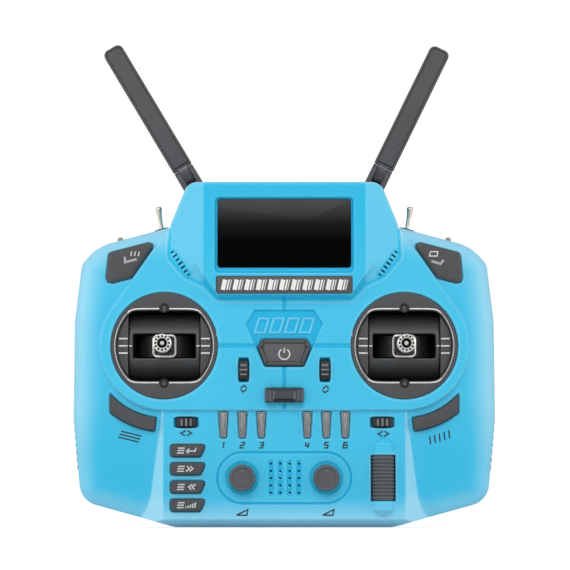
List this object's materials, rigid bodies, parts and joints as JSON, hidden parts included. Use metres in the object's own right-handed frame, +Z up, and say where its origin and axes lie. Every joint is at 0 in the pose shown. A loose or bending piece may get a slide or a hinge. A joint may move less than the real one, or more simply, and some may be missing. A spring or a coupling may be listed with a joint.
{
  "type": "radio transmitter controller",
  "caption": "Hand-held radio control transmitter: twin stick gimbals, display, trims, keys, dials, scroll roller, shoulder switches and folding antennas.",
  "frame": {"origin": "middle of the width, on the parting plane of the two shells, at the height of the flat bottom face", "axes": "+X to the user's right across the face, -Y out of the face towards the user, +Z up towards the display and antennas"},
  "size_m": [0.1826, 0.066, 0.2103],
  "materials": {
    "case_blue": "satin moulded plastic",
    "grip_rubber": "fine ribbed rubber",
    "dark_plastic": "fine grained matt plastic",
    "black_plastic": "matt black plastic",
    "screw_black": "blackened steel",
    "screen_glass": "polished dark window",
    "name_plate": null,
    "silver": "turned and polished",
    "switch_nickel": "bright nickel plate",
    "smoke_key": "smoke translucent plastic",
    "circuit_board": "green solder mask",
    "battery_wrap": "shrink wrap"
  },
  "bodies": {
    "case": {"front_shell": "case_blue", "rear_shell": "case_blue", "grip_pad_left": "grip_rubber", "grip_pad_right": "grip_rubber", "screen_lens": "screen_glass", "name_plate": "name_plate", "strap_bar": "dark_plastic", "main_board": "circuit_board", "battery_pack": "battery_wrap", "speaker": "black_plastic", "power_bezel": "black_plastic", "left_gimbal_frame": "dark_plastic", "right_gimbal_frame": "dark_plastic", "left_bezel_screw_upper": "screw_black", "left_bezel_screw_lower": "screw_black", "right_bezel_screw_upper": "screw_black", "right_bezel_screw_lower": "screw_black", "left_inner_toggle_base": "screw_black", "left_outer_toggle_base": "screw_black", "right_inner_toggle_base": "screw_black", "right_outer_toggle_base": "screw_black"},
    "left_drum": {"left_gimbal_drum": "black_plastic"},
    "left_stick": {"left_stick_yoke": "silver", "left_stick_tip": "silver"},
    "right_drum": {"right_gimbal_drum": "black_plastic"},
    "right_stick": {"right_stick_yoke": "silver", "right_stick_tip": "silver"},
    "trim_left_vertical": {"trim_left_vertical": "black_plastic"},
    "trim_right_vertical": {"trim_right_vertical": "black_plastic"},
    "trim_left_horizontal": {"trim_left_horizontal": "black_plastic"},
    "trim_right_horizontal": {"trim_right_horizontal": "black_plastic"},
    "key_1": {"key_1": "smoke_key"},
    "key_2": {"key_2": "smoke_key"},
    "key_3": {"key_3": "smoke_key"},
    "key_4": {"key_4": "smoke_key"},
    "key_5": {"key_5": "smoke_key"},
    "key_6": {"key_6": "smoke_key"},
    "nav_button_1": {"nav_button_1": "dark_plastic"},
    "nav_button_2": {"nav_button_2": "dark_plastic"},
    "nav_button_3": {"nav_button_3": "dark_plastic"},
    "nav_button_4": {"nav_button_4": "dark_plastic"},
    "menu_button_left": {"menu_button_left": "dark_plastic"},
    "corner_button_left": {"corner_button_left": "dark_plastic"},
    "menu_button_right": {"menu_button_right": "dark_plastic"},
    "corner_button_right": {"corner_button_right": "dark_plastic"},
    "power_button": {"power_button": "dark_plastic"},
    "knob_left": {"knob_left": "dark_plastic"},
    "knob_right": {"knob_right": "dark_plastic"},
    "roller_cradle": {"roller_cradle": "black_plastic"},
    "scroll_roller": {"scroll_roller": "dark_plastic"},
    "left_inner_lever": {"left_inner_toggle_lever": "switch_nickel"},
    "left_outer_lever": {"left_outer_toggle_lever": "switch_nickel"},
    "right_inner_lever": {"right_inner_toggle_lever": "switch_nickel"},
    "right_outer_lever": {"right_outer_toggle_lever": "switch_nickel"},
    "left_antenna_link": {"left_antenna_swivel": "dark_plastic"},
    "left_antenna": {"left_antenna_blade": "dark_plastic"},
    "right_antenna_link": {"right_antenna_swivel": "dark_plastic"},
    "right_antenna": {"right_antenna_blade": "dark_plastic"},
    "battery_door": {"battery_door": "case_blue"},
    "module_bay_cover": {"module_bay_cover": "case_blue"}
  },
  "joints": [
    {"name": "left_stick_up_down", "type": "hinge", "parent": "case", "child": "left_drum", "pos_m": [-0.0513, 0.0035, 0.0772], "axis": [1, 0, 0], "range_deg": [-28, 28]},
    {"name": "left_stick_left_right", "type": "hinge", "parent": "left_drum", "child": "left_stick", "pos_m": [-0.0513, 0.0035, 0.0772], "axis": [0, 0, 1], "range_deg": [-28, 28]},
    {"name": "right_stick_up_down", "type": "hinge", "parent": "case", "child": "right_drum", "pos_m": [0.0513, 0.0035, 0.0772], "axis": [1, 0, 0], "range_deg": [-28, 28]},
    {"name": "right_stick_left_right", "type": "hinge", "parent": "right_drum", "child": "right_stick", "pos_m": [0.0513, 0.0035, 0.0772], "axis": [0, 0, 1], "range_deg": [-28, 28]},
    {"name": "trim_left_vertical_rock", "type": "hinge", "parent": "case", "child": "trim_left_vertical", "pos_m": [-0.01735, -0.0074, 0.0668], "axis": [1, 0, 0], "range_deg": [-10, 10]},
    {"name": "trim_right_vertical_rock", "type": "hinge", "parent": "case", "child": "trim_right_vertical", "pos_m": [0.01735, -0.0074, 0.0668], "axis": [1, 0, 0], "range_deg": [-10, 10]},
    {"name": "trim_left_horizontal_rock", "type": "hinge", "parent": "case", "child": "trim_left_horizontal", "pos_m": [-0.0418, -0.0059, 0.0445], "axis": [0, 0, 1], "range_deg": [-10, 10]},
    {"name": "trim_right_horizontal_rock", "type": "hinge", "parent": "case", "child": "trim_right_horizontal", "pos_m": [0.0418, -0.0059, 0.0445], "axis": [0, 0, 1], "range_deg": [-10, 10]},
    {"name": "key_1_press", "type": "slide", "parent": "case", "child": "key_1", "axis": [0, 1, 0], "range_m": [0, 0.0006]},
    {"name": "key_2_press", "type": "slide", "parent": "case", "child": "key_2", "axis": [0, 1, 0], "range_m": [0, 0.0006]},
    {"name": "key_3_press", "type": "slide", "parent": "case", "child": "key_3", "axis": [0, 1, 0], "range_m": [0, 0.0006]},
    {"name": "key_4_press", "type": "slide", "parent": "case", "child": "key_4", "axis": [0, 1, 0], "range_m": [0, 0.0006]},
    {"name": "key_5_press", "type": "slide", "parent": "case", "child": "key_5", "axis": [0, 1, 0], "range_m": [0, 0.0006]},
    {"name": "key_6_press", "type": "slide", "parent": "case", "child": "key_6", "axis": [0, 1, 0], "range_m": [0, 0.0006]},
    {"name": "nav_button_1_press", "type": "slide", "parent": "case", "child": "nav_button_1", "axis": [0, 1, 0], "range_m": [0, 0.0008]},
    {"name": "nav_button_2_press", "type": "slide", "parent": "case", "child": "nav_button_2", "axis": [0, 1, 0], "range_m": [0, 0.0008]},
    {"name": "nav_button_3_press", "type": "slide", "parent": "case", "child": "nav_button_3", "axis": [0, 1, 0], "range_m": [0, 0.0008]},
    {"name": "nav_button_4_press", "type": "slide", "parent": "case", "child": "nav_button_4", "axis": [0, 1, 0], "range_m": [0, 0.0008]},
    {"name": "menu_button_left_press", "type": "slide", "parent": "case", "child": "menu_button_left", "axis": [0, 1, 0], "range_m": [0, 0.0008]},
    {"name": "corner_button_left_press", "type": "slide", "parent": "case", "child": "corner_button_left", "axis": [0, 1, 0], "range_m": [0, 0.001]},
    {"name": "menu_button_right_press", "type": "slide", "parent": "case", "child": "menu_button_right", "axis": [0, 1, 0], "range_m": [0, 0.0008]},
    {"name": "corner_button_right_press", "type": "slide", "parent": "case", "child": "corner_button_right", "axis": [0, 1, 0], "range_m": [0, 0.001]},
    {"name": "power_button_press", "type": "slide", "parent": "case", "child": "power_button", "axis": [0, 1, 0], "range_m": [0, 0.0008]},
    {"name": "knob_left_turn", "type": "hinge", "parent": "case", "child": "knob_left", "pos_m": [-0.0179, -0.012, 0.0209], "axis": [0, -1, 0], "range_deg": [-150, 150]},
    {"name": "knob_right_turn", "type": "hinge", "parent": "case", "child": "knob_right", "pos_m": [0.0179, -0.012, 0.0209], "axis": [0, -1, 0], "range_deg": [-150, 150]},
    {"name": "roller_cradle_press", "type": "slide", "parent": "case", "child": "roller_cradle", "axis": [0, 1, 0], "range_m": [0, 0.001]},
    {"name": "scroll_roller_spin", "type": "hinge", "parent": "roller_cradle", "child": "scroll_roller", "pos_m": [0.0421, -0.0102, 0.0209], "axis": [0, 0, 1], "continuous": true},
    {"name": "left_inner_switch", "type": "hinge", "parent": "case", "child": "left_inner_lever", "pos_m": [-0.0533, 0.0042, 0.12799], "axis": [0.9659, 0, 0.2588], "range_deg": [-15, 15]},
    {"name": "left_outer_switch", "type": "hinge", "parent": "case", "child": "left_outer_lever", "pos_m": [-0.0707, 0.016, 0.11919], "axis": [0.9659, 0, 0.2588], "range_deg": [-15, 15]},
    {"name": "right_inner_switch", "type": "hinge", "parent": "case", "child": "right_inner_lever", "pos_m": [0.0533, 0.0042, 0.12799], "axis": [0.9659, 0, -0.2588], "range_deg": [-15, 15]},
    {"name": "right_outer_switch", "type": "hinge", "parent": "case", "child": "right_outer_lever", "pos_m": [0.0707, 0.016, 0.11919], "axis": [0.9659, 0, -0.2588], "range_deg": [-15, 15]},
    {"name": "left_antenna_swing", "type": "hinge", "parent": "case", "child": "left_antenna_link", "pos_m": [-0.0373, 0.006, 0.144], "axis": [0, -1, 0], "range_deg": [-30, 58]},
    {"name": "left_antenna_fold", "type": "hinge", "parent": "left_antenna_link", "child": "left_antenna", "pos_m": [-0.04227, 0.006, 0.15233], "axis": [-0.859, 0, -0.512], "range_deg": [0, 88]},
    {"name": "right_antenna_swing", "type": "hinge", "parent": "case", "child": "right_antenna_link", "pos_m": [0.0373, 0.006, 0.144], "axis": [0, -1, 0], "range_deg": [-60, 25]},
    {"name": "right_antenna_fold", "type": "hinge", "parent": "right_antenna_link", "child": "right_antenna", "pos_m": [0.04155, 0.006, 0.15272], "axis": [-0.8988, 0, 0.4384], "range_deg": [0, 88]},
    {"name": "battery_door_lift_off", "type": "slide", "parent": "case", "child": "battery_door", "axis": [0, 1, 0], "range_m": [0, 0.02]},
    {"name": "module_bay_cover_lift_off", "type": "slide", "parent": "case", "child": "module_bay_cover", "axis": [0, 1, 0], "range_m": [0, 0.02]}
  ]
}
